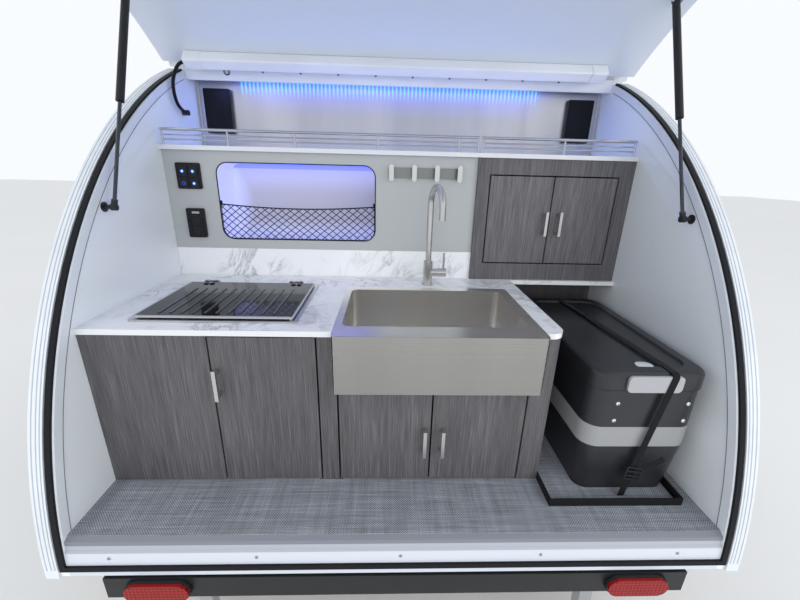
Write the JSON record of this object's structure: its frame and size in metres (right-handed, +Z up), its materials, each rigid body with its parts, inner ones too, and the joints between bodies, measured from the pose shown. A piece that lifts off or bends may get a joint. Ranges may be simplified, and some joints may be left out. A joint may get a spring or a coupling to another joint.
{
  "type": "teardrop camping trailer",
  "caption": "Teardrop camping trailer with a curved rear hatch over a galley: cabinets, sink, hob and cooler, side doors, roof vent, tongue with coupler and jack.",
  "frame": {"origin": "on the ground, under the middle of the bounding box of the trailer as it stands with its hatch open", "axes": "+X to the right as seen from behind, +Y forwards towards the coupler, +Z up"},
  "size_m": [2.2906, 4.9395, 2.2184],
  "materials": {
    "white_panel": "gloss",
    "roof_skin": "gloss",
    "door_panel": "gloss",
    "trim_white": "satin",
    "black_rubber": "matte",
    "tyre_rubber": "matte",
    "alloy": "satin",
    "brushed_aluminium": "satin",
    "stainless": "satin",
    "chrome_rail": "polished",
    "grey_oak": "satin",
    "marble_top": "gloss",
    "grey_laminate": "satin",
    "floor_weave": "matte",
    "ply": "matte",
    "black_plastic": "matte",
    "grey_plastic": "matte",
    "black_glass": "gloss",
    "black_webbing": "matte",
    "net_cord": "matte",
    "mattress_cloth": "matte",
    "tinted_glass": "gloss",
    "chassis_black": "satin",
    "zinc": "satin",
    "lamp_red": "gloss",
    "lamp_white": "satin",
    "bottle_paint": "gloss"
  },
  "bodies": {
    "root": {"axle": "chassis_black", "base_cabinet": "grey_oak", "bulkhead": "ply", "chassis_frame": "chassis_black", "cooktop": "stainless", "countertop": "marble_top", "edge_trims": "trim_white", "faucet": "stainless", "fender_left": "black_plastic", "fender_right": "black_plastic", "floor_panel": "ply", "fridge": "black_plastic", "fridge_strap": "black_webbing", "fridge_tray": "grey_plastic", "front_window": "tinted_glass", "gallery_rail": "chrome_rail", "galley_fittings": "black_plastic", "galley_floor": "floor_weave", "galley_shelf": "marble_top", "gas_bottle": "bottle_paint", "hatch_cable": "black_rubber", "hatch_header": "trim_white", "jack_tube": "chassis_black", "mattress": "mattress_cloth", "niche_net": "net_cord", "niche_panel": "grey_laminate", "opening_seal": "black_rubber", "rear_panel": "brushed_aluminium", "rear_sill": "white_panel", "roof_shell": "roof_skin", "roof_vent_base": "lamp_white", "sink": "stainless", "tail_lamps": "lamp_red", "upper_cabinet": "grey_oak", "wall_left": "white_panel", "wall_right": "white_panel"},
    "hatch": {"hatch_shell": "white_panel", "hatch_light_bar": "lamp_white"},
    "strut_left_tube": {"strut_left_tube": "chassis_black"},
    "strut_left_rod": {"strut_left_rod": "chrome_rail"},
    "strut_right_tube": {"strut_right_tube": "chassis_black"},
    "strut_right_rod": {"strut_right_rod": "chrome_rail"},
    "wheel_left": {"wheel_left_rim": "alloy", "wheel_left_tyre": "tyre_rubber"},
    "wheel_right": {"wheel_right_rim": "alloy", "wheel_right_tyre": "tyre_rubber"},
    "entry_door_left": {"entry_door_left": "door_panel", "entry_door_left_window": "tinted_glass"},
    "entry_door_right": {"entry_door_right": "door_panel", "entry_door_right_window": "tinted_glass"},
    "roof_vent_lid": {"roof_vent_lid": "lamp_white"},
    "cooktop_lid": {"cooktop_lid": "black_glass"},
    "galley_door": {"galley_door": "grey_oak"},
    "sink_door_left": {"sink_door_left": "grey_oak"},
    "sink_door_right": {"sink_door_right": "grey_oak"},
    "upper_door_left": {"upper_door_left": "grey_oak"},
    "upper_door_right": {"upper_door_right": "grey_oak"},
    "jack_leg": {"jack_leg": "zinc"},
    "stabiliser_left": {"stabiliser_left": "zinc"},
    "stabiliser_right": {"stabiliser_right": "zinc"}
  },
  "joints": [
    {"name": "hatch_hinge", "type": "hinge", "parent": "root", "child": "hatch", "pos_m": [0, -0.72525, 1.89754], "axis": [-1, 0, 0], "range_deg": [-57, 0], "deforming": ["hatch_cable"]},
    {"name": "strut_left_pivot", "type": "hinge", "parent": "hatch", "child": "strut_left_tube", "pos_m": [-0.834, -1.0472, 2.0249], "axis": [-1, 0, 0], "range_deg": [0, 78.9]},
    {"name": "strut_left_slide", "type": "slide", "parent": "strut_left_tube", "child": "strut_left_rod", "axis": [0, -0.3779, -0.9258], "range_m": [-0.2578, 0]},
    {"name": "strut_right_pivot", "type": "hinge", "parent": "hatch", "child": "strut_right_tube", "pos_m": [0.834, -1.0472, 2.0249], "axis": [-1, 0, 0], "range_deg": [0, 78.9]},
    {"name": "strut_right_slide", "type": "slide", "parent": "strut_right_tube", "child": "strut_right_rod", "axis": [0, -0.3779, -0.9258], "range_m": [-0.2578, 0]},
    {"name": "wheel_left_spin", "type": "hinge", "parent": "root", "child": "wheel_left", "pos_m": [-1.0325, -0.382, 0.324], "axis": [1, 0, 0], "continuous": true},
    {"name": "wheel_right_spin", "type": "hinge", "parent": "root", "child": "wheel_right", "pos_m": [1.0325, -0.382, 0.324], "axis": [1, 0, 0], "continuous": true},
    {"name": "entry_door_left_hinge", "type": "hinge", "parent": "root", "child": "entry_door_left", "pos_m": [-0.913, 0.7255, 1.1], "axis": [0, 0, -1], "range_deg": [0, 100]},
    {"name": "entry_door_right_hinge", "type": "hinge", "parent": "root", "child": "entry_door_right", "pos_m": [0.913, 0.7255, 1.1], "axis": [0, 0, 1], "range_deg": [0, 100]},
    {"name": "roof_vent_hinge", "type": "hinge", "parent": "root", "child": "roof_vent_lid", "pos_m": [0, 0.2405, 2.0298], "axis": [-1, 0, 0], "range_deg": [0, 70]},
    {"name": "cooktop_lid_hinge", "type": "hinge", "parent": "root", "child": "cooktop_lid", "pos_m": [-0.5315, -1.107, 1.108], "axis": [-1, 0, 0], "range_deg": [0, 95]},
    {"name": "galley_door_hinge", "type": "hinge", "parent": "root", "child": "galley_door", "pos_m": [-0.247, -1.509, 0.84], "axis": [0, 0, 1], "range_deg": [0, 90]},
    {"name": "sink_door_left_hinge", "type": "hinge", "parent": "root", "child": "sink_door_left", "pos_m": [-0.182, -1.509, 0.76], "axis": [0, 0, -1], "range_deg": [0, 90]},
    {"name": "sink_door_right_hinge", "type": "hinge", "parent": "root", "child": "sink_door_right", "pos_m": [0.352, -1.509, 0.76], "axis": [0, 0, 1], "range_deg": [0, 90]},
    {"name": "upper_door_left_hinge", "type": "hinge", "parent": "root", "child": "upper_door_left", "pos_m": [0.331, -0.976, 1.33], "axis": [0, 0, -1], "range_deg": [0, 90]},
    {"name": "upper_door_right_hinge", "type": "hinge", "parent": "root", "child": "upper_door_right", "pos_m": [0.802, -0.976, 1.33], "axis": [0, 0, 1], "range_deg": [0, 90]},
    {"name": "jack_slide", "type": "slide", "parent": "root", "child": "jack_leg", "axis": [0, 0, 1], "range_m": [0, 0.2]},
    {"name": "stabiliser_left_fold", "type": "hinge", "parent": "root", "child": "stabiliser_left", "pos_m": [-0.605, -1.572, 0.4547], "axis": [1, 0, 0], "range_deg": [0, 88]},
    {"name": "stabiliser_right_fold", "type": "hinge", "parent": "root", "child": "stabiliser_right", "pos_m": [0.605, -1.572, 0.4547], "axis": [1, 0, 0], "range_deg": [0, 88]}
  ],
  "couplings": [
    {"joint": "strut_left_pivot", "follows": "hatch_hinge", "ratio": -1.383},
    {"joint": "strut_left_slide", "follows": "hatch_hinge", "m_per_rad": 0.25897},
    {"joint": "strut_right_pivot", "follows": "hatch_hinge", "ratio": -1.383},
    {"joint": "strut_right_slide", "follows": "hatch_hinge", "m_per_rad": 0.25897}
  ]
}
